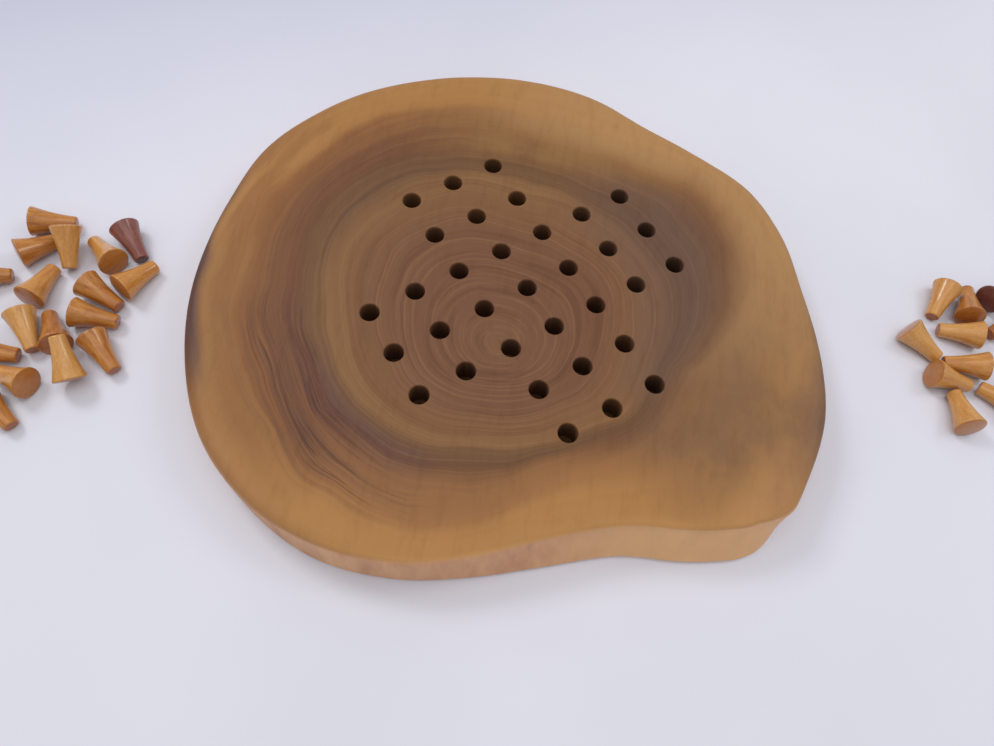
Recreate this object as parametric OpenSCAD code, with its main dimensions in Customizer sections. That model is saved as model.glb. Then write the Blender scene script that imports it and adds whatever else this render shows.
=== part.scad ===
// A peg solitaire board: a live-edge slab of wood with 33 drilled holes, and its 32 loose pegs.
// Millimetres. The origin is on the table, under the centre hole. +Z is up and +Y is away from the player.

/* [Slab] */
// Width of the slab, from its left side to its right side
board_w = 265; // [230:1:330]
// Depth of the slab, from its front to its back
board_d = 244; // [215:1:300]
// Thickness of the slab
board_t = 22; // [18:0.5:35]
// How far the middle of the slab lies to the left of the centre hole
mid_left = 5; // [0:0.5:10]
// How far the middle of the slab lies nearer to the player than the centre hole
mid_near = 1; // [0:0.5:10]
// Rounding of the top edge at the sides and the back
edge_round = 5; // [3:0.5:8]
// Rounding of the crisper top edge along the front
crease_round = 1.5; // [1:0.25:3]
// Rounding of the bottom edge
foot_round = 2; // [1:0.5:4]
// How far the front wall leans out, from the top edge to the foot, where it leans most
front_lean = 8; // [0:0.5:10]

/* [Holes] */
// Distance between the centres of neighbouring holes
pitch = 21; // [17:0.5:24]
// How much wider a hole is than the tip of a peg
hole_play = 1.7; // [0.5:0.1:3]
// Depth of a hole below the top face
hole_depth = 14; // [9:0.5:16]
// Width and depth of the softened edge round a hole
mouth = 0.6; // [0.2:0.1:1.5]
// Turn of the rows of holes in the slab, in degrees
grid_turn = 39.5; // [0:0.5:90]

/* [Pegs] */
// Length of a peg, from the face of its head to its tip
peg_l = 19; // [15:0.5:25]
// Diameter of a peg's head
head_d = 13; // [10:0.5:16]
// Diameter of a peg's tip
tip_d = 6.3; // [5:0.1:8]
// How far the sides are hollowed, against a straight cone
hollow = 0.6; // [0.2:0.1:0.8]
// Height of the straight rim round the head
rim_h = 1.2; // [0.8:0.1:2]
// Rounding of the rim's outer edge, and width of the tip's softened edge
rim_round = 0.5; // [0.1:0.05:0.7]

/* [Heaps] */
// Clear table between the slab and the heap of pegs on its left
left_gap = 27.5; // [20:0.5:80]
// Clear table between the slab and the heap of pegs on its right
right_gap = 31.5; // [20:0.5:80]
// Clear space between pegs that lie against each other
peg_gap = 0.3; // [0.3:0.1:1]

/* [Hidden] */
// The slab's outline, in percent of its half width and half depth, from the back going left
outline = [
    [-4, 100], [-25, 98], [-46, 91], [-66, 79], [-82, 62], [-93, 43], [-98, 19],
    [-100, -5], [-98, -28], [-91, -52], [-80, -72], [-63, -88], [-43, -98], [-21, -100],
    [0, -96], [21, -89], [42, -82], [64, -80], [83, -73], [94, -51], [100, -28],
    [99, -4], [94, 20], [88, 42], [76, 62], [57, 75], [38, 85], [18, 96]
];
// Points of the smooth outline for each point of the list above
outline_steps = 3;
// Steps of the rounded bottom edge and of the rounded top edge
foot_steps = 2;
edge_steps = 3;

// The lean of the front wall, as [direction from the centre hole where it changes, over how many degrees, by
// what share of the full lean]
lean_steps = [[-130, 14, 0.2], [-104, 32, 0.6], [-72, 30, 0.2], [-42, 9, -1]];

// The cross: the rows of holes run over this many places, and an arm is this many places wide
places = 7;
arm = 3;
hole_d = tip_d + hole_play;

// The pegs in the order in which they drop onto the table, each as [x, y, heading of its tip, tilt, side,
// apart]. x and y are in peg lengths, from the near end of the heap and from the line through the centre
// hole. A peg slides in from its side, on a line through x and y, until it lies against one that is there
// already, or this many millimetres more apart from it. tilt is how far its tip stands above lying flat, and
// a peg with a tilt leans on the one before it. Angles are in degrees.
left_heap = [
    [-2.86, -0.8, 45, 0, 0, 0], [-1.98, 0, -76, -20, 0, 0], [-2.96, 0.12, 15, 0, 120, 0],
    [-2.18, -1.94, 83, 0, -120, 0], [-2.22, -2.24, -54, 0, -90, 0], [-1.16, -2.87, 126, 0, 10, 0],
    [-0.59, -3.52, 117, 40, -40, 0], [-1.21, -2.07, 1, 0, 40, 0], [-0.56, -2.48, -43, 0, 10, 0],
    [-1.18, -1.33, -23, 0, 80, 0], [-0.76, -0.65, 143, 0, 20, 0], [-0.39, -1.39, 61, 0, 70, 0],
    [-0.85, 0.37, -48, 0, 110, 0], [-2.87, -3.27, 7, 0, -140, 0], [-1.31, -3.79, 167, 0, -80, 0],
    [-2.18, -4.17, -33, 0, -110, 0], [-3.78, -1.59, 19, 0, -130, 3], [-3.95, -2.16, -5, 0, -120, 0],
    [-5.32, -2.74, -20, 0, -140, 10], [-5.11, -0.95, 60, 0, 160, 17]
];
right_heap = [
    [2.34, 1.7, 81, 0, 0, 0], [2.85, 2.32, 32, 0, 0, 0], [2.59, 1.25, 175, 0, -90, 0],
    [1.96, 2.55, -115, 0, 160, 0], [3.73, 1.96, -148, 0, 20, 2.5], [2.61, 0.4, 179, 0, -90, 2.5],
    [1.22, 0.02, -5, 0, -110, 0], [0.74, 1.13, -37, 0, 130, 0], [3.26, -0.58, 150, 0, -110, 0],
    [1.96, -1.2, 100, 0, -90, 0], [4.26, 3.16, -40, 0, 10, 5.5], [4.68, 1.05, 200, 0, -70, 11]
];
left_x = -mid_left - board_w / 2 - left_gap;
right_x = -mid_left + board_w / 2 + right_gap;

// Pegs of a darker wood, by their places in the list of all the pegs
dark_pegs = [12, 21];

// A peg's side is an arc from its rim to its tip
side_l = peg_l - rim_h - rim_round;
side_slope = atan((head_d - tip_d) / (2 * side_l));
half_side = side_l / cos(side_slope) / 2;
side_r = (half_side * half_side + hollow * hollow) / (2 * hollow);

// The space that a peg takes up, as two cones that meet at its waist. Each is a list of discs: how far along
// the peg, and radius
waist = rim_h + side_l / 2;
waist_r = (head_d + tip_d) / 4 - hollow;
cones = [
    [[0, head_d / 2], [rim_h, head_d / 2], [waist, waist_r]],
    [[waist, waist_r], [peg_l, tip_d / 2]]
];
// Directions in which two pegs are held apart: level ones, so that each can be lifted off, and for a peg that
// leans on another also those that point up and down
round_about = [0 : 15 : 345];
level = [for (a = round_about) [cos(a), sin(a), 0]];
all_ways = [for (e = [-75 : 15 : 75], a = round_about) [cos(a) * cos(e), sin(a) * cos(e), sin(e)]];

wood = "peru";
peg_wood = "goldenrod";
dark_wood = "saddlebrown";
cut = 1;
// So that no sliver of the straight cone is left at the ends of a peg's hollow side
hair = 0.01;
turned = 64;

function two_digits(n) = str(n < 10 ? "0" : "", n);
function peg_name(i) = str("peg_", two_digits(i + 1));

// A smooth closed curve through the points p: the place t, from 0 to 1, between point i and the next one
function at(p, i) = p[(i + len(p)) % len(p)];
function smooth(p, i, t) = 0.5 * (
    2 * at(p, i)
    + t * (at(p, i + 1) - at(p, i - 1))
    + t * t * (2 * at(p, i - 1) - 5 * at(p, i) + 4 * at(p, i + 1) - at(p, i + 2))
    + t * t * t * (3 * at(p, i) - at(p, i - 1) - 3 * at(p, i + 1) + at(p, i + 2))
);
function ease(t) = t <= 0 ? 0 : t >= 1 ? 1 : t * t * (3 - 2 * t);

foot = [
    for (i = [0 : len(outline) - 1], k = [0 : outline_steps - 1])
        let (p = smooth(outline, i, k / outline_steps))
        [p[0] * board_w / 200 - mid_left, p[1] * board_d / 200 - mid_near]
];
// Outward directions, square to the outline
out_dir = [
    for (i = [0 : len(foot) - 1])
        let (d = at(foot, i + 1) - at(foot, i - 1))
        [d[1], -d[0]] / norm(d)
];
function sum(list, i = 0) = i == len(list) ? 0 : list[i] + sum(list, i + 1);
// 1 where the front wall leans out most, 0 at the sides and the back
lean = [
    for (p = foot)
        let (a = atan2(p[1], p[0]))
        sum([for (step = lean_steps) step[2] * ease((a - step[0]) / step[1])])
];

// One ring round the slab: at_foot is how far round the bottom edge it is, from 0 to 90 degrees, u how far
// up the wall, from 0 to 1, and q how far round the top edge, from 0 to 90 degrees
function ring(at_foot, u, q) = [
    for (i = [0 : len(foot) - 1])
        let (
            r = edge_round + (crease_round - edge_round) * lean[i],
            wall = board_t - r - foot_round,
            inset = foot_round * (1 - sin(at_foot)) + front_lean * lean[i] * u + r * (1 - cos(q)),
            z = foot_round * (1 - cos(at_foot)) + wall * u + r * sin(q)
        )
        [foot[i][0] - inset * out_dir[i][0], foot[i][1] - inset * out_dir[i][1], z]
];

module slab() {
    rings = concat(
        [for (k = [0 : foot_steps]) ring(90 * k / foot_steps, 0, 0)],
        [for (k = [0 : edge_steps]) ring(90, 1, 90 * k / edge_steps)]
    );
    n = len(foot);
    top = len(rings) - 1;
    sides = [
        for (k = [0 : top - 1], i = [0 : n - 1])
            let (j = (i + 1) % n)
            each [[k * n + i, k * n + j, k * n + n + i], [k * n + j, k * n + n + j, k * n + n + i]]
    ];
    caps = [[for (i = [0 : n - 1]) i], [for (i = [n - 1 : -1 : 0]) top * n + i]];
    polyhedron([for (r = rings) each r], concat(sides, caps));
}

// Runs its children at each hole of the cross, on the top face
module at_holes() {
    mid = (places - 1) / 2;
    arm_mid = (arm - 1) / 2;
    for (i = [-mid : mid], j = [-mid : mid])
        if (abs(i) <= arm_mid || abs(j) <= arm_mid)
            rotate([0, 0, grid_turn])
                translate([i * pitch, j * pitch, board_t])
                    children();
}

module hole() {
    translate([0, 0, -hole_depth])
        cylinder(d = hole_d, h = hole_depth + cut, $fn = turned);
    translate([0, 0, -mouth])
        cylinder(d1 = hole_d, d2 = hole_d + 4 * mouth, h = 2 * mouth, $fn = turned);
}

module board() {
    color(wood)
        difference() {
            slab();
            at_holes() hole();
        }
}

// A turned peg: the face of its head is at the origin and its tip points up
module peg() {
    rotate_extrude($fn = turned)
        difference() {
            union() {
                square([head_d / 2 - rim_round, rim_round + cut]);
                translate([head_d / 2 - rim_round, rim_round])
                    circle(rim_round, $fn = turned);
                translate([0, rim_round])
                    square([head_d / 2, rim_h - rim_round]);
                polygon([
                    [0, rim_h - rim_round], [head_d / 2, rim_h - rim_round], [head_d / 2, rim_h],
                    [tip_d / 2, peg_l - rim_round], [tip_d / 2 - rim_round, peg_l], [0, peg_l]
                ]);
            }
            translate([(head_d + tip_d) / 4, rim_h + side_l / 2])
                rotate(side_slope)
                    translate([side_r - hollow, 0])
                        circle(side_r + hair, $fn = 12 * turned);
        }
}

// How far a disc of the radius r, s along a sloping peg, reaches below the face of its head
function reach(s, r, slope) = r * cos(slope) - s * sin(slope);

// A peg of a heap before it slides in, as [face of its head, direction of its axis]
function waiting(row, start) =
    let (
        slope = row[3] - side_slope,
        lift = max(
            reach(rim_round, head_d / 2, slope), reach(rim_h, head_d / 2, slope),
            reach(peg_l - rim_round, tip_d / 2, slope)
        )
    )
    [
        [start + row[0] * peg_l, row[1] * peg_l, lift],
        [cos(row[2]) * cos(slope), sin(row[2]) * cos(slope), sin(slope)]
    ];

// How far a peg's cone reaches in the direction n
function extent(n, cone, peg) =
    let (across = norm(cross(n, peg[1])))
    max([for (disc = cone) n * (peg[0] + disc[0] * peg[1]) + disc[1] * across]);

// How far a peg has to slide along u until it is past another. Empty if it never meets it
function way_past(peg, other, u, ways) = [
    for (own = cones, its = cones)
        let (
            room = [for (n = ways) extent(n, its, other) + extent(-n, own, peg)],
            leave = min([for (k = [0 : len(ways) - 1]) if (ways[k] * u >= 0) room[k] / (ways[k] * u)]),
            enter = max([for (k = [0 : len(ways) - 1]) if (ways[k] * u < 0) room[k] / (ways[k] * u)])
        )
        if (enter < leave) leave
];

// Slides the pegs of a heap in, one after the other from peg i on, to those that are there
function dropped(heap, start, i = 0, there = []) =
    i == len(heap) ? there :
    let (
        row = heap[i],
        peg = waiting(row, start),
        u = [cos(row[4]), sin(row[4]), 0],
        past = [
            for (k = [0 : 1 : i - 1])
                if (norm(peg[0] - there[k][0]) < 4 * peg_l)
                    each way_past(peg, there[k], u, row[3] != 0 && k == i - 1 ? all_ways : level)
        ],
        slide = len(past) > 0 ? max(past) + peg_gap + row[5] : 0
    )
    dropped(heap, start, i + 1, concat(there, [[peg[0] + slide * u, peg[1]]]));

pegs = concat(dropped(left_heap, left_x), dropped(right_heap, right_x));

// Peg i, where it lies
module heap_peg(i) {
    axis = pegs[i][1];
    color(len(search(i, dark_pegs)) > 0 ? dark_wood : peg_wood)
        translate(pegs[i][0])
            rotate([0, acos(axis[2]), atan2(axis[1], axis[0])])
                peg();
}

board();
for (i = [0 : len(pegs) - 1])
    heap_peg(i);
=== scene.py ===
"""The looks of a peg solitaire board: a live-edge slab, its turned pegs, the table and the light.

Lengths in the named values are millimetres, and MM turns them into Blender's metres.
"""

import math

import bmesh
import bpy
import numpy as np
from mathutils import Matrix, Vector


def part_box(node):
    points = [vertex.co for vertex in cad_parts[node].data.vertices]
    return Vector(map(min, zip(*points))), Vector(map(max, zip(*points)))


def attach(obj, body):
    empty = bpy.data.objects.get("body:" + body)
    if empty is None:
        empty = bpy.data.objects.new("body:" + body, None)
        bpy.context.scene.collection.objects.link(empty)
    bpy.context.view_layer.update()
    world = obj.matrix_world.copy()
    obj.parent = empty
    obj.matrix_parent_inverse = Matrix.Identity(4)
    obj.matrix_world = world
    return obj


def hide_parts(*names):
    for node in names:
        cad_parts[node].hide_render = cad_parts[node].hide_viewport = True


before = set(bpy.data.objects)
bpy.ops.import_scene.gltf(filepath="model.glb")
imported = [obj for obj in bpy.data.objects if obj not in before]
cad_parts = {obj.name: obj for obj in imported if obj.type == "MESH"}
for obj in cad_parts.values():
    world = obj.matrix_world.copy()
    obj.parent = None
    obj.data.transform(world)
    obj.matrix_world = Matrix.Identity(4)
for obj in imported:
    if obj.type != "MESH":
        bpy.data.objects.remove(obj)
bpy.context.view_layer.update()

MM = 0.001
# Heights that differ by less count as the same
NEAR = 0.01

# Camera: where it stands, how far it looks down and is rolled, in degrees, and its lens
CAMERA_AT = (-6.8, -167.4, 282.8)
CAMERA_DOWN = 64.27
CAMERA_ROLL = 9.28
LENS = 26.47
SENSOR = 36
CLIP_START = 10

# Light: the sky's strength, and the name, place, size and power in watts of each soft light
SKY = 0.55
LIGHTS = (
    ("left_window", (-850, 500, 1050), 420, 5.4),
    ("right_window", (850, 420, 1050), 420, 2.3),
    ("ceiling", (0, -100, 1500), 1200, 4.6),
)

# Table: its size, and where its painted shade, cooler and darker towards the far left, runs from and to,
# along this slant
TABLE_SIZE = 3000
TABLE_SHADE_SPAN = (60, 420)
TABLE_SLANT = 0.6

# Shading stays crisp where faces meet at more than so many degrees
SLAB_CRISP = 20
PEG_CRISP = 50

# Slab, as in the model
FOOT_ROUND = 2
EDGE_ROUND = 5
CREASE_ROUND = 1.5
FRONT_LEAN = 8
# Where the front wall's lean changes: from this direction on, over so many degrees, by this share of it
LEAN_STEPS = ((-130, 14, 0.2), (-104, 32, 0.6), (-72, 30, 0.2), (-42, 9, -1))

# Slab, finer than the model: points for each of the model's outline points, and rings on each stretch
OUTLINE_STEPS = 6
FOOT_RINGS = 4
WALL_RINGS = 8
EDGE_RINGS = 8
FLAT_MARGIN = 1.5
# Shallow hollows in the live edge: how many go round the slab, how deep, where they start, how they drift
HOLLOWS = ((7, 0.22, 0.4, 0.5), (13, 0.14, 2.1, -0.9), (29, 0.07, 1.3, 1.6), (61, 0.035, 0.2, -2.5))
# How much of their swell lies on the wall, before the rounded edge takes them out
HOLLOWS_ON_WALL = 0.9

# Holes, as in the model
PITCH = 21
PLACES = 7
ARM = 3
GRID_TURN = 39.5
HOLE_D = 8
HOLE_DEPTH = 14
MOUTH = 0.6
# Holes, finer than the model, with rings that crowd at the mouth
HOLE_SIDES = 48
HOLE_RINGS = 12
MOUTH_CROWDING = 3
DRILL_POINT = 1.2
DRILL_TIP_SHARE = 0.2

# Pegs, as in the model
HOLLOW = 0.6
RIM_HEIGHT = 1.2
TIP_EDGE = 0.5
# Pegs, finer and rounder than the model, with a last small ring in the middle of the face
PEG_SIDES = 64
PEG_RINGS = 56
TIP_ROUND = 0.85
RIM_ROUND = 0.65
FACE_DOME = 0.55
FACE_MIDDLE = 0.02
# How much of the end grain shows on the head, and where it fades, below the head's dome and above the tip
FACE_TINT = 0.6
FACE_FADE = (0.2, 0.35)
TIP_FADE = (0.2, 0.05)

# Peg woods: the light, middle and dark tone of the grain, and the end grain
PEG_WOODS = {
    "peg_wood": ((210, 156, 88), (196, 132, 60), (156, 88, 28), (150, 80, 28)),
    "dark_peg_wood": ((150, 94, 80), (128, 72, 62), (98, 52, 46), (84, 46, 40)),
}
DARK_PEGS = ("peg_13", "peg_22")
# Each peg is cut from its own place in the wood
PEG_SEED = 7
GRAIN_SPREAD = 200

# Slab wood: the pith, and how far from it the core, the heartwood and the whole wood reach, by direction
PITH = (-6, -26)
REACH_MAX = 160
CORE_REACH = (
    (0, 63), (48, 76), (90, 80), (137, 90), (180, 77), (211, 65),
    (238, 55), (270, 46), (313, 50), (341, 59), (360, 63)
)
HEART_REACH = (
    (0, 81), (14, 104), (31, 120), (48, 127), (67, 120), (87, 118), (106, 123), (127, 123), (143, 118),
    (180, 102), (197, 96), (220, 91), (246, 83), (275, 71), (296, 62), (315, 65), (341, 72), (360, 81)
)
WOOD_REACH = (
    (0, 133), (30, 139), (45, 144), (60, 140), (90, 147), (120, 149), (150, 144), (180, 130), (210, 123),
    (240, 109), (270, 93), (285, 88), (300, 90), (315, 103), (330, 129), (345, 131), (360, 133)
)
# How thick the core, the heartwood and the sapwood are on average
CORE_MEAN, HEART_MEAN, SAP_MEAN = 66, 36, 34
# How far the rings wander from round
WANDER = 16
# How far beside the pith their middle lies, a shift that is whole at the first distance, gone at the other
PITH_SHIFT = (-1.5, -4)
PITH_SHIFT_SPAN = (5, 60)

# The slab's ground colours, from the pith at 0 to the bark at 1
GROUND = (
    (0.0, (121, 85, 59)), (0.08, (117, 80, 58)), (0.2, (116, 79, 56)), (0.28, (127, 89, 58)),
    (0.322, (136, 97, 62)), (0.345, (116, 82, 53)), (0.42, (109, 76, 50)), (0.5, (112, 73, 47)),
    (0.58, (123, 81, 50)), (0.68, (150, 103, 59)), (0.76, (166, 117, 66)), (0.9, (170, 122, 69)),
    (1.0, (164, 118, 76)),
)
# Sides of the slab, seen from the pith: the middle of each, and how far it reaches either way, in degrees
SIDES = {
    "rim_right": (2, 24), "right_out": (12, 44), "right": (28, 58), "far_rim": (52, 60), "far": (84, 44),
    "far_left": (138, 34), "heart_left": (160, 46), "left": (174, 56), "rim_left": (178, 28),
    "streaked": (182, 88), "left_front": (196, 44), "front_left": (214, 42), "deep_left": (222, 34),
    "heart_front": (250, 76), "front": (272, 62), "crease": (290, 64), "rim_front": (318, 32),
    "right_cloud": (356, 44),
}
# The share of a side, round its middle, over which nothing fades
SIDE_WHOLE = 0.25
# Stains, laid over each other: colour, growth from and to, softness of the edges, side, pattern, strength
STAINS = (
    # Olive beside the core, and honey brown over the far side
    ((120, 91, 62), 1.08, 1.4, 0.12, "left", "patchy", 0.4),
    ((142, 103, 62), 1.35, 2.1, 0.2, "far", "patchy", 1.0),
    # Grey-purple beside the core at the front left
    ((104, 74, 62), 1.1, 1.6, 0.14, "deep_left", "plain", 0.9),
    ((108, 74, 58), 1.3, 1.85, 0.16, "front_left", "plain", 0.6),
    # Darker brown in the heartwood, at the front and the left
    ((118, 79, 52), 1.6, 1.95, 0.14, "heart_front", "plain", 0.5),
    ((110, 74, 48), 1.2, 1.85, 0.14, "heart_left", "plain", 0.35),
    # A darker line where the core ends at the far left
    ((98, 68, 50), 0.96, 1.14, 0.08, "far_left", "plain", 0.7),
    # Red-brown all down the left, in streaks, darkest at the front left
    ((114, 75, 48), 1.55, 2.75, 0.2, "left_front", "plain", 0.42),
    ((122, 77, 49), 1.5, 2.2, 0.2, "streaked", "broad", 0.8),
    ((112, 70, 50), 1.3, 1.85, 0.18, "streaked", "bold", 0.85),
    ((94, 60, 48), 1.35, 2.3, 0.2, "front_left", "bold", 0.85),
    # The grey-purple side of the heartwood, and its stain out to the right rim
    ((116, 85, 68), 0.82, 1.05, 0.1, "right", "plain", 0.75),
    ((106, 79, 64), 1.02, 1.6, 0.16, "right", "plain", 0.9),
    ((120, 88, 64), 1.5, 3.2, 0.3, "right_cloud", "patchy", 0.75),
    ((118, 87, 62), 1.6, 2.55, 0.25, "right_out", "plain", 0.42),
    # Sapwood: deeper on the left, paler over the far side and the front
    ((138, 90, 50), 1.95, 3.2, 0.2, "left", "broad", 0.6),
    ((176, 134, 88), 1.85, 3.3, 0.2, "far_rim", "plain", 0.75),
    ((158, 111, 68), 1.45, 2.2, 0.2, "front", "plain", 0.65),
    ((176, 126, 74), 2.2, 3.3, 0.2, "front", "patchy", 0.8),
    ((190, 138, 86), 2.7, 3.4, 0.12, "rim_front", "plain", 0.6),
    # What is left of the bark side
    ((82, 58, 58), 2.74, 3.4, 0.1, "rim_left", "plain", 0.9),
    ((112, 86, 72), 2.9, 3.4, 0.1, "rim_right", "plain", 0.6),
)
# How far below the top the pale wall starts and is whole, and the same at the crease
WALL_DEPTHS = (1.6, 4.6)
CREASE_WALL_DEPTHS = (0.3, 1.4)
# From which depth to which the painted highlight along the crease lies, and the painted shade inside the
# holes
CREASE_HIGHLIGHT_DEPTHS = (1.6, 0.2)
HOLE_SHADE_DEPTHS = (18, 1.2)


def srgb(red, green, blue):
    """A colour given in display values from 0 to 255, as the shaders take it."""
    def linear(v):
        v = v / 255
        return v / 12.92 if v <= 0.04045 else ((v + 0.055) / 1.055) ** 2.4

    return linear(red), linear(green), linear(blue), 1.0


def ease(t):
    """0 below 0, 1 above 1, and smooth between."""
    t = np.clip(t, 0, 1)
    return t * t * (3 - 2 * t)


class Tree:
    """A tree of nodes. Each method adds a node or a few and returns the socket that they give."""

    def __init__(self, tree):
        self.nodes = tree.nodes
        self.links = tree.links

    def set(self, socket, value):
        if isinstance(value, bpy.types.NodeSocket):
            self.links.new(value, socket)
        else:
            socket.default_value = value

    def add(self, kind, inputs=None, output=0, **settings):
        """A node of this kind, with its settings, and its inputs by name or number."""
        node = self.nodes.new(kind)
        for name, value in settings.items():
            setattr(node, name, value)
        for name, value in (inputs or {}).items():
            self.set(node.inputs[name], value)
        return node.outputs[output]

    def math(self, operation, a, b=0.0, clamp=False):
        return self.add("ShaderNodeMath", {0: a, 1: b}, operation=operation, use_clamp=clamp)

    def vector_math(self, operation, a, b=(0, 0, 0)):
        output = "Value" if operation in ("LENGTH", "DOT_PRODUCT") else "Vector"
        return self.add("ShaderNodeVectorMath", {0: a, 1: b}, output, operation=operation)

    def split(self, vector):
        return self.add("ShaderNodeSeparateXYZ", {0: vector}).node.outputs

    def join(self, x, y, z):
        return self.add("ShaderNodeCombineXYZ", {0: x, 1: y, 2: z})

    def product(self, first, *others):
        for other in others:
            first = self.math("MULTIPLY", first, other)
        return first

    def total(self, first, *others):
        for other in others:
            first = self.math("ADD", first, other)
        return first

    def span(self, value, low, high, out_low=0.0, out_high=1.0):
        """value from low to high, turned smoothly into out_low to out_high and held there beyond."""
        return self.add(
            "ShaderNodeMapRange", {0: value, 1: low, 2: high, 3: out_low, 4: out_high},
            interpolation_type="SMOOTHSTEP")

    def between(self, value, low, high, soft):
        """1 where value is from low to high, and 0 elsewhere, over soft edges."""
        rise = self.span(value, low - soft, low + soft)
        fall = self.span(value, high - soft, high + soft, 1.0, 0.0)
        return self.product(rise, fall)


class Finish(Tree):
    """A material's tree."""

    def __init__(self, name):
        self.material = bpy.data.materials.new(name)
        self.material.use_nodes = True
        super().__init__(self.material.node_tree)
        self.nodes.clear()

    def object_mm(self):
        """Object coordinates, in millimetres."""
        place = self.add("ShaderNodeTexCoord", output="Object")
        return self.scaled(place, (1 / MM, 1 / MM, 1 / MM))

    def attribute(self, name, output="Vector"):
        return self.add("ShaderNodeAttribute", output=output, attribute_name=name)

    def scaled(self, vector, scale, shift=(0, 0, 0)):
        return self.add("ShaderNodeMapping", {"Vector": vector, "Location": shift, "Scale": scale})

    def noise(self, vector, scale=1.0, detail=3.0, roughness=0.5, distortion=0.0, colour=False):
        return self.add(
            "ShaderNodeTexNoise",
            {"Vector": vector, "Scale": scale, "Detail": detail, "Roughness": roughness,
             "Distortion": distortion},
            "Color" if colour else "Fac")

    def ramp(self, value, *stops):
        """Colours along value: each stop is (place, colour)."""
        socket = self.add("ShaderNodeValToRGB", {0: value}, "Color")
        elements = socket.node.color_ramp.elements
        while len(elements) < len(stops):
            elements.new(1)
        for element, (place, colour) in zip(elements, stops):
            element.position = place
            element.color = colour
        return socket

    def curve(self, value, points):
        """A smooth curve through the points (value, height), both from 0 to 1."""
        socket = self.add("ShaderNodeFloatCurve", {"Value": value})
        line = socket.node.mapping.curves[0]
        while len(line.points) < len(points):
            line.points.new(0.5, 0.5)
        for point, (x, y) in zip(line.points, points):
            point.location = (x, y)
        socket.node.mapping.update()
        return socket

    def mix(self, factor, a, b, blend="MIX"):
        inputs = {"Factor": factor, "A": a, "B": b}
        return self.add("ShaderNodeMix", inputs, "Result", data_type="RGBA", blend_type=blend)

    def deepened(self, factor, colour, tint):
        """The colour multiplied by a tint, as far as factor says."""
        return self.mix(factor, colour, self.mix(1.0, colour, tint, blend="MULTIPLY"))

    def bump(self, height, strength, depth):
        """Fine relief, this many millimetres deep."""
        inputs = {"Height": height, "Strength": strength, "Distance": depth * MM}
        return self.add("ShaderNodeBump", inputs)

    def surface(self, **values):
        """The shader: each value is a number, a colour or a socket, and its name is the shader's own."""
        inputs = {name.replace("_", " "): value for name, value in values.items()}
        shader = self.add("ShaderNodeBsdfPrincipled", inputs)
        output = self.nodes.new("ShaderNodeOutputMaterial")
        self.links.new(shader, output.inputs["Surface"])
        return self.material


class TrunkSlice(Finish):
    """The wood of a slice across a trunk, laid out round its pith.

    Growth is 0 at the pith, 1 where the core ends, 2 where the heartwood ends and 3 at the bark.
    """

    def __init__(self, name, thick):
        super().__init__(name)
        self.place = self.object_mm()
        from_pith = self.vector_math("SUBTRACT", self.wandered(thick), (*PITH, 0))
        east, north, self.height = self.split(from_pith)
        flat = self.join(east, north, 0.0)
        self.aim = self.vector_math("NORMALIZE", flat)
        radius = self.vector_math("LENGTH", flat)
        turn = self.turn(east, north)
        core, heart, wood = (self.reach(turn, table) for table in (CORE_REACH, HEART_REACH, WOOD_REACH))
        in_core = self.math("DIVIDE", radius, core, clamp=True)
        in_heart = self.share(radius, core, heart, clamp=True)
        in_sap = self.math("MAXIMUM", self.share(radius, heart, wood), 0.0)
        self.growth = self.total(in_core, in_heart, in_sap)
        # Growth again, in millimetres of wood that grew evenly on all sides
        self.rings_at = self.total(
            self.product(in_heart, HEART_MEAN), self.product(in_sap, SAP_MEAN),
            self.product(in_core, CORE_MEAN))

    def wandered(self, thick):
        """The place, a little off, so that the rings wander and their middle lies beside the pith."""
        drift = self.noise(self.scaled(self.place, (1, 1, 0.3)), scale=0.018, detail=2, colour=True)
        drift = self.vector_math("SUBTRACT", drift, (0.5, 0.5, 0.5))
        drift = self.vector_math("MULTIPLY", drift, (WANDER, WANDER, 0))
        out = self.vector_math("LENGTH", self.vector_math("SUBTRACT", self.place, (*PITH, thick)))
        near = self.span(out, *PITH_SHIFT_SPAN, 1.0, 0.0)
        shift = self.vector_math("MULTIPLY", near, (-PITH_SHIFT[0], -PITH_SHIFT[1], 0))
        drift = self.vector_math("MULTIPLY", drift, self.math("SUBTRACT", 1.0, near))
        return self.vector_math("ADD", self.place, self.vector_math("ADD", drift, shift))

    def turn(self, x, y):
        """The direction of (x, y), from 0 to 1 counter-clockwise from +X."""
        turn = self.math("DIVIDE", self.math("ARCTAN2", y, x), 2 * math.pi)
        return self.math("FRACT", self.math("ADD", turn, 1.0))

    def reach(self, turn, table):
        """The table's length in this direction."""
        points = [(degrees / 360, length / REACH_MAX) for degrees, length in table]
        return self.product(self.curve(turn, points), REACH_MAX)

    def share(self, radius, inner, outer, clamp=False):
        """How far the radius is on its way from inner to outer."""
        part = self.math("SUBTRACT", radius, inner)
        return self.math("DIVIDE", part, self.math("SUBTRACT", outer, inner), clamp=clamp)

    def toward(self, degrees, spread):
        """1 in this direction from the pith, fading to 0 at so many degrees to either side."""
        angle = math.radians(degrees)
        along = self.vector_math("DOT_PRODUCT", self.aim, (math.cos(angle), math.sin(angle), 0))
        gone, whole = (math.cos(math.radians(spread * part)) for part in (1, SIDE_WHOLE))
        return self.span(along, gone, whole)

    def streaks(self, across, along, detail, roughness=0.55):
        """Noise in streaks along the rings, so many millimetres across and this part of a turn long."""
        around = self.vector_math("MULTIPLY", self.aim, (1 / along, 1 / along, 0))
        lift = self.join(0.0, 0.0, self.math("DIVIDE", self.rings_at, across))
        return self.noise(self.vector_math("ADD", around, lift), detail=detail, roughness=roughness)


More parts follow.
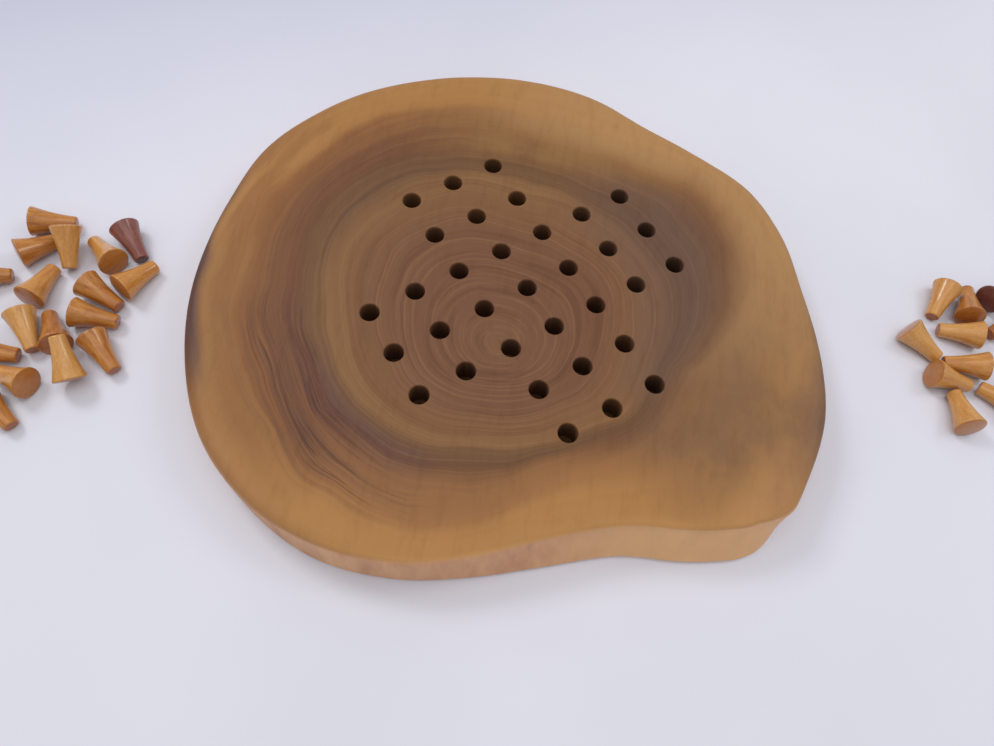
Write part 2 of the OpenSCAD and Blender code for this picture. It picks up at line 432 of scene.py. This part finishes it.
class Shape(Tree):
    """A Geometry Nodes tree, with the names of its inputs listed under their kinds."""

    def __init__(self, name, **inputs):
        self.tree = bpy.data.node_groups.new(name, "GeometryNodeTree")
        super().__init__(self.tree)
        self.tree.interface.new_socket("Piece", in_out="OUTPUT", socket_type="NodeSocketGeometry")
        for kind, sizes in inputs.items():
            for size in sizes:
                self.tree.interface.new_socket(size, in_out="INPUT", socket_type="NodeSocket" + kind)
        self.size = self.nodes.new("NodeGroupInput").outputs
        self.exit = self.nodes.new("NodeGroupOutput")

    def turned(self, line, radius, sides):
        """A closed shape, turned around the line with this radius at each of its points."""
        ring = self.add("GeometryNodeCurvePrimitiveCircle", {"Resolution": sides, "Radius": 1.0})
        return self.add(
            "GeometryNodeCurveToMesh",
            {"Curve": line, "Profile Curve": ring, "Scale": radius, "Fill Caps": True})

    def upright(self, points):
        """A line with this many points, to be set along Z."""
        line = self.add("GeometryNodeCurvePrimitiveLine", {"End": (0, 0, 1)})
        return self.add("GeometryNodeResampleCurve", {"Curve": line, "Count": points})

    def along_z(self, line, z):
        return self.add("GeometryNodeSetPosition", {"Geometry": line, "Position": self.join(0.0, 0.0, z)})

    def quarter(self, distance, radius):
        """How far a quarter round of this radius draws in, at this distance from where it starts."""
        left = self.math("SUBTRACT", 1.0, self.math("DIVIDE", distance, radius), clamp=True)
        rest = self.math("SQRT", self.math("SUBTRACT", 1.0, self.product(left, left)))
        return self.product(radius, self.math("SUBTRACT", 1.0, rest))

    def keep(self, piece, name, value, kind="FLOAT"):
        """Stores a value for each point of the piece."""
        inputs = {"Geometry": piece, "Name": name, "Value": value}
        return self.add("GeometryNodeStoreNamedAttribute", inputs, data_type=kind)

    def end(self, piece):
        piece = self.add("GeometryNodeRealizeInstances", {"Geometry": piece})
        piece = self.add("GeometryNodeSetMaterial", {"Geometry": piece, "Material": self.size["Wood"]})
        self.links.new(piece, self.exit.inputs[0])
        return self.tree


def stained(tree, side, colour):
    """The colour under all the slab's stains."""
    cloud = tree.scaled(tree.place, (1, 1, 0.2), shift=(31, 7, 0))
    cloud = tree.noise(cloud, scale=0.035, detail=4, roughness=0.6)
    pattern = {
        "plain": 1.0,
        "patchy": tree.span(cloud, 0.3, 0.65, 0.45, 1.0),
        "bold": tree.span(tree.streaks(across=4, along=0.8, detail=4), 0.4, 0.62),
        "broad": tree.span(tree.streaks(across=9, along=0.7, detail=3), 0.38, 0.62),
    }
    for tint, start, stop, soft, at, look, strength in STAINS:
        there = tree.between(tree.growth, start, stop, soft)
        amount = tree.product(there, side[at], pattern[look], strength)
        colour = tree.mix(amount, colour, srgb(*tint))
    return colour


def ringed(tree, side, colour):
    """Growth rings: soft dark bands, fine pale lines, plainest round the pith, and broken lines."""
    band = tree.span(tree.streaks(across=3.6, along=1.6, detail=3), 0.48, 0.64)
    shown = tree.span(tree.growth, 0.1, 2.2, 0.4, 0.06)
    colour = tree.deepened(tree.product(band, shown), colour, srgb(205, 186, 186))
    line = tree.span(tree.streaks(across=0.9, along=2.2, detail=3), 0.5, 0.7)
    shown = tree.span(tree.growth, 0.1, 2.6, 0.28, 0.05)
    colour = tree.mix(tree.product(line, shown), colour, srgb(158, 116, 76))
    # The broken lines are in the heartwood on the left, dark and pale
    thin = tree.streaks(across=1.5, along=0.45, detail=5, roughness=0.65)
    lined = tree.product(
        tree.between(tree.growth, 1.2, 2.1, 0.15),
        tree.total(tree.product(side["front_left"], 0.42), tree.product(side["streaked"], 0.2)))
    colour = tree.mix(tree.product(tree.span(thin, 0.52, 0.64), lined), colour, srgb(76, 46, 38))
    return tree.mix(tree.product(tree.span(thin, 0.44, 0.34), lined, 0.5), colour, srgb(150, 104, 68))


def walled(tree, side, thick, colour):
    """The pale wall, where the bark came off, lightened further as painted light, and a painted highlight
    along the crease above it.
    """
    outside = tree.span(tree.growth, 2.5, 2.8)

    def level(depth, depth_at_crease):
        """The height this far below the top, changed to the other depth along the crease."""
        return tree.total(tree.product(side["crease"], depth - depth_at_crease), thick - depth)

    starts, whole = (level(*depths) for depths in zip(WALL_DEPTHS, CREASE_WALL_DEPTHS))
    wall = tree.product(outside, tree.span(tree.height, starts, whole))
    upright = tree.noise(tree.scaled(tree.place, (0.16, 0.16, 0.03)), detail=4, roughness=0.55)
    # The wall's own paler wood, lightened further as painted light from the front, and paler still towards
    # the front right
    pale = tree.ramp(
        upright, (0.3, srgb(196, 144, 110)), (0.5, srgb(212, 160, 122)), (0.7, srgb(224, 174, 132)))
    pale = tree.mix(tree.product(side["rim_front"], 0.7), pale, srgb(232, 184, 132))
    colour = tree.mix(tree.product(wall, 0.85), colour, pale)
    low, high = (thick - depth for depth in CREASE_HIGHLIGHT_DEPTHS)
    # A painted highlight: a lighter band along the crease at the front
    crease = tree.product(outside, tree.between(tree.height, low, high, 0.4), side["crease"])
    return tree.mix(tree.product(crease, 0.65), colour, srgb(204, 152, 96))


def slab_material(thick):
    """The slab's wood: ground colours and stains, rings, strokes of the grain, the wall and painted shade
    in the holes.
    """
    tree = TrunkSlice("slab_wood", thick)
    side = {name: tree.toward(*at) for name, at in SIDES.items()}
    colour = tree.ramp(
        tree.math("DIVIDE", tree.growth, 3.0), *((at, srgb(*tint)) for at, tint in GROUND))
    colour = ringed(tree, side, stained(tree, side, colour))
    # Soft strokes of the grain, seen end on
    strokes = tree.noise(tree.scaled(tree.place, (0.3, 0.07, 0.03)), detail=4, roughness=0.6)
    strokes = tree.product(tree.span(strokes, 0.45, 0.7), 0.24)
    colour = walled(tree, side, thick, tree.deepened(strokes, colour, srgb(220, 206, 196)))
    # Painted shade inside the holes: the wood there is darkened, and made rougher
    low, high = (thick - depth for depth in HOLE_SHADE_DEPTHS)
    hole_shade = tree.product(tree.between(tree.height, low, high, 0.6), tree.span(tree.growth, 2.4, 2.2))
    colour = tree.mix(tree.product(hole_shade, 0.3), colour, srgb(48, 24, 18))
    fine = tree.noise(tree.scaled(tree.place, (1, 1, 0.15)), scale=0.9, detail=6, roughness=0.6)
    return tree.surface(
        Base_Color=colour, Normal=tree.bump(fine, strength=0.12, depth=0.3),
        Roughness=tree.math("MAXIMUM", hole_shade, tree.span(fine, 0.2, 0.8, 0.44, 0.56)),
        Specular_IOR_Level=0.2)


def peg_material(name, light, middle, dark, end):
    """Lacquered turned wood, with its grain along the peg and its end grain on the head and the tip."""
    light, middle, dark, end = (srgb(*tint) for tint in (light, middle, dark, end))
    tree = Finish(name)
    place = tree.attribute("peg_mm")
    along = tree.scaled(place, (1, 1, 0.07))
    streak = tree.noise(along, scale=0.55, detail=5, roughness=0.6, distortion=0.4)
    fibre = tree.noise(along, scale=3.2, detail=4, roughness=0.7)
    # Mostly the streaks, moved up or down by the peg's own tone
    tone = tree.product(tree.attribute("peg_tone", "Fac"), 0.35)
    mixed = tree.total(tree.product(streak, 0.75), tone, -0.04)
    colour = tree.ramp(mixed, (0.25, dark), (0.5, middle), (0.72, light))
    colour = tree.deepened(tree.span(fibre, 0.45, 0.7, 0.0, 0.6), colour, srgb(214, 200, 190))
    rings = tree.noise(tree.scaled(place, (1, 0.25, 0.2)), scale=1.4, detail=4)
    end_colour = tree.mix(tree.span(rings, 0.35, 0.65, 0.0, 0.35), end, dark)
    colour = tree.mix(tree.attribute("peg_end", "Fac"), colour, end_colour)
    return tree.surface(
        Base_Color=colour, Normal=tree.bump(fibre, strength=0.08, depth=0.2),
        Roughness=tree.span(streak, 0.3, 0.7, 0.3, 0.4),
        Coat_Weight=0.7, Coat_Roughness=0.13, Specular_IOR_Level=0.25)


def table_material():
    """White, with faint clouds, and painted shade that makes it cooler and darker towards the far left."""
    tree = Finish("table_sheet")
    place = tree.object_mm()
    clouds = tree.noise(place, scale=0.006, detail=3)
    colour = tree.mix(tree.span(clouds, 0.3, 0.7), srgb(220, 221, 232), srgb(226, 226, 238))
    x, y, _ = tree.split(place)
    # Painted shade: the table grows cooler and darker towards the far left
    far = tree.span(tree.math("SUBTRACT", y, tree.product(x, TABLE_SLANT)), *TABLE_SHADE_SPAN)
    colour = tree.mix(far, colour, srgb(186, 188, 208))
    return tree.surface(Base_Color=colour, Roughness=0.85, Specular_IOR_Level=0.2)


def peg_shape():
    """A turned peg: a low dome and a rounded rim at its head, and slightly hollow sides to its tip."""
    tree = Shape(
        "turned_peg",
        Float=("Length", "Head radius", "Tip radius", "Hollow", "Rim height", "Rim round", "Tip edge",
               "Tip round", "Face dome", "Face middle", "Face tint", "Tone"),
        Int=("Rings", "Sides"), Vector=("Head at", "Direction", "Grain at"), Material=("Wood",))
    size = tree.size
    length, rim, dome = size["Length"], size["Rim height"], size["Face dome"]

    # Rings crowd at both ends, where the shape curves most
    half_turn = tree.product(tree.add("GeometryNodeSplineParameter"), math.pi)
    crowded = tree.math("SUBTRACT", 0.5, tree.product(tree.math("COSINE", half_turn), 0.5))
    line = tree.along_z(tree.upright(size["Rings"]), tree.product(crowded, length))
    z = tree.split(tree.add("GeometryNodeInputPosition"))[2]

    # The side is a cone from the rim to the tip, hollowed by an arch that is deepest half-way down
    side = tree.math("SUBTRACT", length, tree.total(rim, size["Tip edge"]))
    down = tree.math("DIVIDE", tree.math("SUBTRACT", z, rim), side, clamp=True)
    narrows = tree.product(down, tree.math("SUBTRACT", size["Head radius"], size["Tip radius"]))
    arch = tree.product(size["Hollow"], 4.0, down, tree.math("SUBTRACT", 1.0, down))
    radius = tree.math("SUBTRACT", tree.math("SUBTRACT", size["Head radius"], narrows), arch)

    below_dome = tree.math("MAXIMUM", tree.math("SUBTRACT", z, dome), 0.0)
    radius = tree.math("SUBTRACT", radius, tree.quarter(below_dome, size["Rim round"]))
    above_tip = tree.math("SUBTRACT", length, z)
    radius = tree.math("SUBTRACT", radius, tree.quarter(above_tip, size["Tip round"]))
    on_face = tree.math("SQRT", tree.math("DIVIDE", z, dome, clamp=True))
    radius = tree.product(radius, tree.math("MAXIMUM", on_face, size["Face middle"]))
    peg = tree.turned(line, radius, size["Sides"])

    place = tree.add("GeometryNodeInputPosition")
    up = tree.split(place)[2]
    at_face = tree.span(up, *(tree.total(dome, depth) for depth in FACE_FADE), 1.0, 0.0)
    at_tip = tree.span(up, *(tree.math("SUBTRACT", length, depth) for depth in TIP_FADE))
    at_end = tree.math("MAXIMUM", tree.product(at_face, size["Face tint"]), at_tip)
    peg = tree.keep(peg, "peg_end", at_end)
    peg = tree.keep(peg, "peg_tone", size["Tone"])
    peg = tree.keep(peg, "peg_mm", tree.vector_math("ADD", place, size["Grain at"]), "FLOAT_VECTOR")
    aimed = tree.add("FunctionNodeAlignRotationToVector", {"Vector": size["Direction"]}, axis="Z")
    peg = tree.add("GeometryNodeTransform", {
        "Geometry": peg, "Rotation": aimed, "Scale": (MM, MM, MM),
        "Translation": tree.vector_math("MULTIPLY", size["Head at"], (MM, MM, MM))})
    return tree.end(peg)


def holes_shape():
    """A drill's shape at each place of the cross: softened mouth, straight wall and a shallow point."""
    tree = Shape(
        "cross_of_holes",
        Float=("Pitch", "Turn", "Hole radius", "Depth", "Mouth", "Drill point", "Drill tip share", "Top"),
        Int=("Places", "Arm", "Rings", "Sides"), Material=("Wood",))
    size = tree.size
    pitch, mouth, rings = size["Pitch"], size["Mouth"], size["Rings"]

    # The drill is a stack of rings: one above the mouth, those of the wall, and one at the point
    index = tree.add("GeometryNodeInputIndex")
    above = tree.math("LESS_THAN", index, 0.5)
    below = tree.math("GREATER_THAN", index, tree.total(rings, 0.5))
    down = tree.math(
        "DIVIDE", tree.math("SUBTRACT", index, 1.0), tree.math("SUBTRACT", rings, 1.0), clamp=True)
    sunk = tree.product(tree.math("POWER", down, MOUTH_CROWDING), size["Depth"])
    z = tree.math("SUBTRACT", tree.total(size["Top"], tree.product(above, mouth)), sunk)
    z = tree.math("SUBTRACT", z, tree.product(below, size["Drill point"]))
    wide = tree.total(size["Hole radius"], tree.product(above, mouth))
    radius = tree.total(wide, tree.quarter(sunk, mouth))
    drawn_in = tree.product(below, tree.math("SUBTRACT", 1.0, size["Drill tip share"]))
    line = tree.along_z(tree.upright(tree.total(rings, 2.0)), z)
    drill = tree.turned(line, tree.product(radius, tree.math("SUBTRACT", 1.0, drawn_in)), size["Sides"])

    # The cross is a square of places without its four corners
    across = tree.product(pitch, tree.math("SUBTRACT", size["Places"], 1.0))
    grid = tree.add("GeometryNodeMeshGrid", {
        "Size X": across, "Size Y": across, "Vertices X": size["Places"], "Vertices Y": size["Places"]})
    x, y, _ = tree.split(tree.vector_math("ABSOLUTE", tree.add("GeometryNodeInputPosition")))
    arm = tree.product(pitch, tree.math("DIVIDE", size["Arm"], 2.0))
    corner = tree.product(tree.math("GREATER_THAN", x, arm), tree.math("GREATER_THAN", y, arm))
    cross = tree.add("GeometryNodeDeleteGeometry", {"Geometry": grid, "Selection": corner})
    turn = tree.join(0.0, 0.0, size["Turn"])
    cross = tree.add("GeometryNodeTransform", {"Geometry": cross, "Rotation": turn})
    holes = tree.add("GeometryNodeInstanceOnPoints", {"Points": cross, "Instance": drill})
    holes = tree.add("GeometryNodeTransform", {"Geometry": holes, "Scale": (MM, MM, MM)})
    return tree.end(holes)


def new_piece(name, mesh):
    piece = bpy.data.objects.new(name, mesh)
    bpy.context.scene.collection.objects.link(piece)
    return piece


def grown(name, shape, values):
    """A plain mesh object made by a shape tree with these values for its named inputs."""
    piece = new_piece(name, bpy.data.meshes.new(name))
    modifier = piece.modifiers.new("shape", "NODES")
    modifier.node_group = shape
    for socket in shape.interface.items_tree:
        if socket.in_out == "INPUT":
            modifier[socket.identifier] = values[socket.name]
    apply_modifiers(piece)
    return piece


def piece_from(name, points, faces):
    """A mesh object with its place in its mesh."""
    mesh = bpy.data.meshes.new(name)
    mesh.from_pydata([tuple(p) for p in points], [], faces)
    mesh.update()
    return new_piece(name, mesh)


def bands(rings, sides):
    """Quads between neighbouring rings, each of as many points as sides."""
    faces = []
    for low in range(0, (rings - 1) * sides, sides):
        high = low + sides
        for i in range(sides):
            after = (i + 1) % sides
            faces.append((low + i, low + after, high + after, high + i))
    return faces


def smooth_shade(piece, angle):
    """Smooth shading that stays crisp where faces meet at more than this many degrees."""
    piece.data.shade_smooth()
    piece.data.set_sharp_from_angle(angle=math.radians(angle))


def outward_faces(piece):
    """Turns every face of a closed mesh outwards."""
    mesh = bmesh.new()
    mesh.from_mesh(piece.data)
    bmesh.ops.recalc_face_normals(mesh, faces=mesh.faces)
    mesh.to_mesh(piece.data)
    mesh.free()


def apply_modifiers(piece):
    """Turns the piece into the plain mesh that its modifiers give."""
    graph = bpy.context.evaluated_depsgraph_get()
    mesh = bpy.data.meshes.new_from_object(piece.evaluated_get(graph))
    piece.modifiers.clear()
    piece.data = mesh


def model_outline():
    """The slab's outline at its widest, read from the model and made finer with a closed smooth curve."""
    points = np.array([v.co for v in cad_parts["board"].data.vertices]) / MM
    ring = points[np.abs(points[:, 2] - FOOT_ROUND) < NEAR][:, :2]
    ring = np.unique(np.round(ring, 3), axis=0)
    middle = (ring.min(0) + ring.max(0)) / 2
    order = np.argsort(np.arctan2(ring[:, 1] - middle[1], ring[:, 0] - middle[0]))
    ring = ring[order]
    before, after, later = np.roll(ring, 1, 0), np.roll(ring, -1, 0), np.roll(ring, -2, 0)
    fine = []
    for k in range(OUTLINE_STEPS):
        t = k / OUTLINE_STEPS
        fine.append(0.5 * (
            2 * ring + t * (after - before)
            + t ** 2 * (2 * before - 5 * ring + 4 * after - later)
            + t ** 3 * (3 * ring - before - 3 * after + later)))
    return np.clip(np.stack(fine, 1).reshape(-1, 2), ring.min(0), ring.max(0))


def slab_rings(thick):
    """The rings of points round the slab, from its underside up to its flat top."""
    outline = model_outline()
    points = len(outline)
    step = np.roll(outline, -1, 0) - np.roll(outline, 1, 0)
    outward = np.stack([step[:, 1], -step[:, 0]], 1) / np.linalg.norm(step, axis=1)[:, None]
    direction = np.degrees(np.arctan2(outline[:, 1], outline[:, 0]))
    lean = sum(share * ease((direction - start) / width) for start, width, share in LEAN_STEPS)
    edge = EDGE_ROUND + (CREASE_ROUND - EDGE_ROUND) * lean
    wall = thick - edge - FOOT_ROUND
    round_slab = np.arange(points) / points * 2 * math.pi

    def hollow(up):
        """How deep the live edge is hollowed, all round, this far up its swell."""
        waves = (
            deep * (1 + np.sin(count * round_slab + start + drift * up)) / 2
            for count, deep, start, drift in HOLLOWS)
        return math.sin(math.pi * up) ** 0.5 * sum(waves)

    def ring(inset, height):
        inset, height = (np.broadcast_to(length, points)[:, None] for length in (inset, height))
        return np.hstack([outline - inset * outward, height])

    rings = []
    for k in range(FOOT_RINGS):
        angle = math.pi / 2 * k / FOOT_RINGS
        rings.append(ring(FOOT_ROUND * (1 - math.sin(angle)), FOOT_ROUND * (1 - math.cos(angle))))
    for k in range(WALL_RINGS):
        up = k / WALL_RINGS
        rings.append(ring(FRONT_LEAN * lean * up + hollow(up * HOLLOWS_ON_WALL), FOOT_ROUND + wall * up))
    for k in range(EDGE_RINGS + 1):
        angle = math.pi / 2 * k / EDGE_RINGS
        inward = edge * (1 - math.cos(angle)) + hollow(HOLLOWS_ON_WALL) * math.cos(angle)
        rings.append(ring(FRONT_LEAN * lean + inward, FOOT_ROUND + wall + edge * math.sin(angle)))
    rings.append(ring(FRONT_LEAN * lean + edge + FLAT_MARGIN, thick))
    return rings


def make_slab():
    low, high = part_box("board")
    thick = (high.z - low.z) / MM
    rings = slab_rings(thick)
    sides = len(rings[0])
    faces = bands(len(rings), sides)
    faces.append(tuple(range(sides - 1, -1, -1)))
    faces.append(tuple(range((len(rings) - 1) * sides, len(rings) * sides)))
    slab = piece_from("slab", np.concatenate(rings) * MM, faces)
    outward_faces(slab)
    wood = slab_material(thick)
    slab.data.materials.append(wood)
    holes = grown("holes", holes_shape(), {
        "Pitch": float(PITCH), "Places": PLACES, "Arm": ARM, "Turn": math.radians(GRID_TURN),
        "Hole radius": HOLE_D / 2, "Depth": float(HOLE_DEPTH), "Mouth": MOUTH, "Drill point": DRILL_POINT,
        "Drill tip share": DRILL_TIP_SHARE, "Top": thick, "Rings": HOLE_RINGS, "Sides": HOLE_SIDES,
        "Wood": wood})
    outward_faces(holes)
    drill = slab.modifiers.new("drill", "BOOLEAN")
    drill.operation = "DIFFERENCE"
    drill.solver = "EXACT"
    drill.object = holes
    apply_modifiers(slab)
    bpy.data.objects.remove(holes)
    smooth_shade(slab, SLAB_CRISP)
    # One slot, whatever the drilling left
    slab.data.materials.clear()
    slab.data.materials.append(wood)
    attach(slab, "slab")
    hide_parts("board")


def peg_place(node):
    """A model peg: the middle of its head, the direction to its tip, its length, head and tip radius."""
    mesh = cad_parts[node].data
    mesh.calc_loop_triangles()
    triangles = np.array([t.vertices for t in mesh.loop_triangles])
    points = np.array([v.co for v in mesh.vertices]) / MM
    # The middle of its mass, found twice, so that the spread is measured from it
    middle = points.mean(0)
    for _ in range(2):
        corners = points[triangles] - middle
        volumes = np.einsum("ij,ij->i", corners[:, 0], np.cross(corners[:, 1], corners[:, 2])) / 6
        sums = corners.sum(1)
        middle = middle + volumes @ sums / volumes.sum() / 4
    # Its axis is the way in which its mass is spread out most
    spread = np.einsum("i,ikj,ikl->jl", volumes, corners, corners)
    spread += np.einsum("i,ij,il->jl", volumes, sums, sums)
    axis = np.linalg.eigh(spread)[1][:, 2]
    along = (points - middle) @ axis
    off = np.linalg.norm(points - middle - along[:, None] * axis, axis=1)
    if off[along > along.mean()].max() > off[along < along.mean()].max():
        axis, along = -axis, -along
    # The tip is as wide as its last ring above the softened edge
    tip = off[along > along.max() - 2 * TIP_EDGE].max()
    face = middle + axis * along.min()
    return face.tolist(), axis.tolist(), float(along.max() - along.min()), float(off.max()), float(tip)


def make_pegs():
    woods = {name: peg_material(name, *tints) for name, tints in PEG_WOODS.items()}
    shape = peg_shape()
    chance = np.random.default_rng(PEG_SEED)
    for node in sorted(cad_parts):
        if not node.startswith("peg_"):
            continue
        face, axis, length, head, tip = peg_place(node)
        slot = "dark_peg_wood" if node in DARK_PEGS else "peg_wood"
        peg = grown(node + "_wood", shape, {
            "Length": length, "Head radius": head, "Tip radius": tip, "Hollow": HOLLOW,
            "Rim height": RIM_HEIGHT, "Rim round": RIM_ROUND, "Tip edge": TIP_EDGE,
            "Tip round": TIP_ROUND, "Face dome": FACE_DOME, "Face middle": FACE_MIDDLE,
            "Face tint": FACE_TINT, "Rings": PEG_RINGS, "Sides": PEG_SIDES,
            "Head at": face, "Direction": axis,
            "Grain at": [chance.uniform(-GRAIN_SPREAD, GRAIN_SPREAD) for _ in range(3)],
            "Tone": chance.uniform(0, 1), "Wood": woods[slot]})
        outward_faces(peg)
        smooth_shade(peg, PEG_CRISP)
        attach(peg, node + "_body")
        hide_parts(node)


def make_table():
    half = TABLE_SIZE / 2 * MM
    corners = [(-half, -half, 0), (half, -half, 0), (half, half, 0), (-half, half, 0)]
    table = piece_from("table", corners, [(0, 1, 2, 3)])
    table.data.materials.append(table_material())


def place_camera():
    data = bpy.data.cameras.new("camera")
    data.sensor_width = SENSOR
    data.lens = LENS
    data.clip_start = CLIP_START * MM
    camera = new_piece("camera", data)
    tilt = Matrix.Rotation(math.radians(90 - CAMERA_DOWN), 4, "X")
    roll = Matrix.Rotation(math.radians(CAMERA_ROLL), 4, "Z")
    camera.matrix_world = Matrix.Translation(Vector(CAMERA_AT) * MM) @ tilt @ roll
    bpy.context.scene.camera = camera


def soft_light(name, at, size, power):
    """A square light, aimed at the middle of the model's frame."""
    data = bpy.data.lights.new(name, "AREA")
    data.size = size * MM
    data.energy = power
    at = Vector(at) * MM
    turned = (-at).to_track_quat("-Z", "Y").to_matrix().to_4x4()
    new_piece(name, data).matrix_world = Matrix.Translation(at) @ turned


def light_scene():
    world = bpy.data.worlds.new("studio")
    world.use_nodes = True
    sky = world.node_tree.nodes["Background"]
    sky.inputs["Color"].default_value = (1.0, 1.0, 1.0, 1.0)
    sky.inputs["Strength"].default_value = SKY
    bpy.context.scene.world = world
    for light in LIGHTS:
        soft_light(*light)
    bpy.context.scene.view_settings.view_transform = "Standard"


place_camera()
make_slab()
make_pegs()
make_table()
light_scene()
